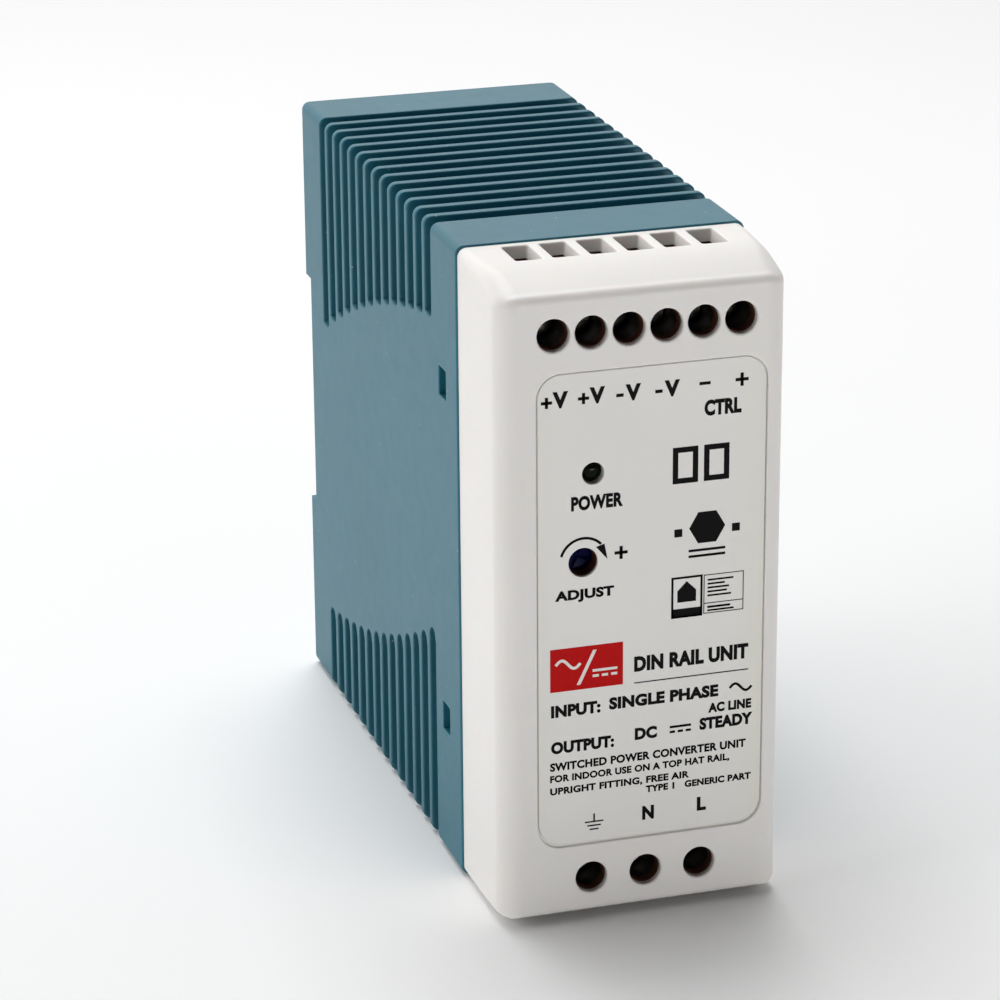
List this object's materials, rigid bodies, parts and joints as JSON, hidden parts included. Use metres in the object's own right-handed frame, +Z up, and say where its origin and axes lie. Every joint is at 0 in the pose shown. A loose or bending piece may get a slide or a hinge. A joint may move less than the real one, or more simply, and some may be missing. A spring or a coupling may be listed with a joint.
{
  "type": "din rail power supply",
  "caption": "Slim DIN rail power supply with a ribbed blue case, white terminal cap, screw terminals above and below, status lamp, trimmer and a sprung rail latch.",
  "frame": {"origin": "middle of the underside: centre of the bounding box across and front to back, at its lowest plane", "axes": "+X to the right seen from the front, +Y from the front panel back to the rail, +Z up"},
  "size_m": [0.04, 0.1, 0.09],
  "materials": {
    "shell_blue": "fine moulded texture, satin",
    "cap_white": "fine moulded texture, satin",
    "label_film": "satin polyester film",
    "black_plastic": "moulded, satin",
    "screw_steel": "zinc plated, worn slots",
    "tinned_metal": "tin plated",
    "spring_steel": "drawn wire",
    "board_green": "solder mask",
    "lamp_green": "clear moulded lens",
    "trimmer_blue": "moulded, glossy",
    "ceramic_blue": "dipped coating",
    "ceramic_dark": "dipped coating",
    "fuse_white": "ceramic tube with metal caps",
    "film_yellow": "moulded box",
    "ferrite": "sintered, matt",
    "copper_wire": "enamelled wire",
    "winding_tape": "polyester tape",
    "capacitor_sleeve": "shrink sleeve",
    "heatsink_metal": "extruded, matt"
  },
  "bodies": {
    "case": {"case_shell": "shell_blue", "front_cap": "cap_white", "front_label": "label_film", "latch_spring": "spring_steel", "main_board": "board_green", "terminal_board": "board_green", "board_link_header": "black_plastic", "output_terminal_block": "black_plastic", "input_terminal_block": "black_plastic", "output_contact_bars": "tinned_metal", "input_contact_bars": "tinned_metal", "status_lamp": "lamp_green", "trimmer_body": "trimmer_blue", "input_fuse": "fuse_white", "surge_varistor": "ceramic_blue", "inrush_thermistor": "ceramic_dark", "mains_capacitor": "film_yellow", "choke_core": "ferrite", "choke_windings": "copper_wire", "bridge_rectifier": "black_plastic", "bulk_capacitor": "capacitor_sleeve", "switching_transistor": "black_plastic", "primary_heatsink": "heatsink_metal", "output_heatsink": "heatsink_metal", "heatsink_screws": "screw_steel", "transformer_core": "ferrite", "transformer_bobbin": "black_plastic", "transformer_winding": "winding_tape", "optocoupler": "black_plastic", "controller_chip": "black_plastic", "safety_capacitors": "ceramic_blue", "output_rectifier": "black_plastic", "output_capacitors": "capacitor_sleeve", "output_inductor": "copper_wire"},
    "latch": {"rail_latch": "black_plastic"},
    "trimmer": {"trimmer_rotor": "trimmer_blue"},
    "output_screw_1": {"output_screw_1": "screw_steel"},
    "output_cage_1": {"output_cage_1": "tinned_metal"},
    "output_screw_2": {"output_screw_2": "screw_steel"},
    "output_cage_2": {"output_cage_2": "tinned_metal"},
    "output_screw_3": {"output_screw_3": "screw_steel"},
    "output_cage_3": {"output_cage_3": "tinned_metal"},
    "output_screw_4": {"output_screw_4": "screw_steel"},
    "output_cage_4": {"output_cage_4": "tinned_metal"},
    "output_screw_5": {"output_screw_5": "screw_steel"},
    "output_cage_5": {"output_cage_5": "tinned_metal"},
    "output_screw_6": {"output_screw_6": "screw_steel"},
    "output_cage_6": {"output_cage_6": "tinned_metal"},
    "input_screw_1": {"input_screw_1": "screw_steel"},
    "input_cage_1": {"input_cage_1": "tinned_metal"},
    "input_screw_2": {"input_screw_2": "screw_steel"},
    "input_cage_2": {"input_cage_2": "tinned_metal"},
    "input_screw_3": {"input_screw_3": "screw_steel"},
    "input_cage_3": {"input_cage_3": "tinned_metal"}
  },
  "joints": [
    {"name": "latch_slide", "type": "slide", "parent": "case", "child": "latch", "axis": [0, 0, -1], "range_m": [0, 0.0045], "stiffness_N_per_m": 1000, "springref_m": -0.004, "deforming": ["latch_spring"]},
    {"name": "trimmer_turn", "type": "hinge", "parent": "case", "child": "trimmer", "pos_m": [-0.00829, -0.046, 0.0512], "axis": [0, 1, 0], "range_deg": [-130, 130]},
    {"name": "output_cage_1_lift", "type": "slide", "parent": "case", "child": "output_cage_1", "axis": [0, -1, 0], "range_m": [0, 0.0025]},
    {"name": "output_screw_1_turn", "type": "hinge", "parent": "case", "child": "output_screw_1", "pos_m": [-0.0123, -0.0421, 0.0824], "axis": [0, 1, 0], "range_deg": [0, 1800]},
    {"name": "output_cage_2_lift", "type": "slide", "parent": "case", "child": "output_cage_2", "axis": [0, -1, 0], "range_m": [0, 0.0025]},
    {"name": "output_screw_2_turn", "type": "hinge", "parent": "case", "child": "output_screw_2", "pos_m": [-0.00722, -0.0421, 0.0824], "axis": [0, 1, 0], "range_deg": [0, 1800]},
    {"name": "output_cage_3_lift", "type": "slide", "parent": "case", "child": "output_cage_3", "axis": [0, -1, 0], "range_m": [0, 0.0025]},
    {"name": "output_screw_3_turn", "type": "hinge", "parent": "case", "child": "output_screw_3", "pos_m": [-0.00214, -0.0421, 0.0824], "axis": [0, 1, 0], "range_deg": [0, 1800]},
    {"name": "output_cage_4_lift", "type": "slide", "parent": "case", "child": "output_cage_4", "axis": [0, -1, 0], "range_m": [0, 0.0025]},
    {"name": "output_screw_4_turn", "type": "hinge", "parent": "case", "child": "output_screw_4", "pos_m": [0.00294, -0.0421, 0.0824], "axis": [0, 1, 0], "range_deg": [0, 1800]},
    {"name": "output_cage_5_lift", "type": "slide", "parent": "case", "child": "output_cage_5", "axis": [0, -1, 0], "range_m": [0, 0.0025]},
    {"name": "output_screw_5_turn", "type": "hinge", "parent": "case", "child": "output_screw_5", "pos_m": [0.00802, -0.0421, 0.0824], "axis": [0, 1, 0], "range_deg": [0, 1800]},
    {"name": "output_cage_6_lift", "type": "slide", "parent": "case", "child": "output_cage_6", "axis": [0, -1, 0], "range_m": [0, 0.0025]},
    {"name": "output_screw_6_turn", "type": "hinge", "parent": "case", "child": "output_screw_6", "pos_m": [0.0131, -0.0421, 0.0824], "axis": [0, 1, 0], "range_deg": [0, 1800]},
    {"name": "input_cage_1_lift", "type": "slide", "parent": "case", "child": "input_cage_1", "axis": [0, -1, 0], "range_m": [0, 0.0025]},
    {"name": "input_screw_1_turn", "type": "hinge", "parent": "case", "child": "input_screw_1", "pos_m": [-0.00712, -0.0421, 0.006], "axis": [0, 1, 0], "range_deg": [0, 1800]},
    {"name": "input_cage_2_lift", "type": "slide", "parent": "case", "child": "input_cage_2", "axis": [0, -1, 0], "range_m": [0, 0.0025]},
    {"name": "input_screw_2_turn", "type": "hinge", "parent": "case", "child": "input_screw_2", "pos_m": [0.0005, -0.0421, 0.006], "axis": [0, 1, 0], "range_deg": [0, 1800]},
    {"name": "input_cage_3_lift", "type": "slide", "parent": "case", "child": "input_cage_3", "axis": [0, -1, 0], "range_m": [0, 0.0025]},
    {"name": "input_screw_3_turn", "type": "hinge", "parent": "case", "child": "input_screw_3", "pos_m": [0.00812, -0.0421, 0.006], "axis": [0, 1, 0], "range_deg": [0, 1800]}
  ],
  "couplings": [
    {"joint": "output_screw_1_turn", "follows": "output_cage_1_lift", "rad_per_m": 12566},
    {"joint": "output_screw_2_turn", "follows": "output_cage_2_lift", "rad_per_m": 12566},
    {"joint": "output_screw_3_turn", "follows": "output_cage_3_lift", "rad_per_m": 12566},
    {"joint": "output_screw_4_turn", "follows": "output_cage_4_lift", "rad_per_m": 12566},
    {"joint": "output_screw_5_turn", "follows": "output_cage_5_lift", "rad_per_m": 12566},
    {"joint": "output_screw_6_turn", "follows": "output_cage_6_lift", "rad_per_m": 12566},
    {"joint": "input_screw_1_turn", "follows": "input_cage_1_lift", "rad_per_m": 12566},
    {"joint": "input_screw_2_turn", "follows": "input_cage_2_lift", "rad_per_m": 12566},
    {"joint": "input_screw_3_turn", "follows": "input_cage_3_lift", "rad_per_m": 12566}
  ]
}
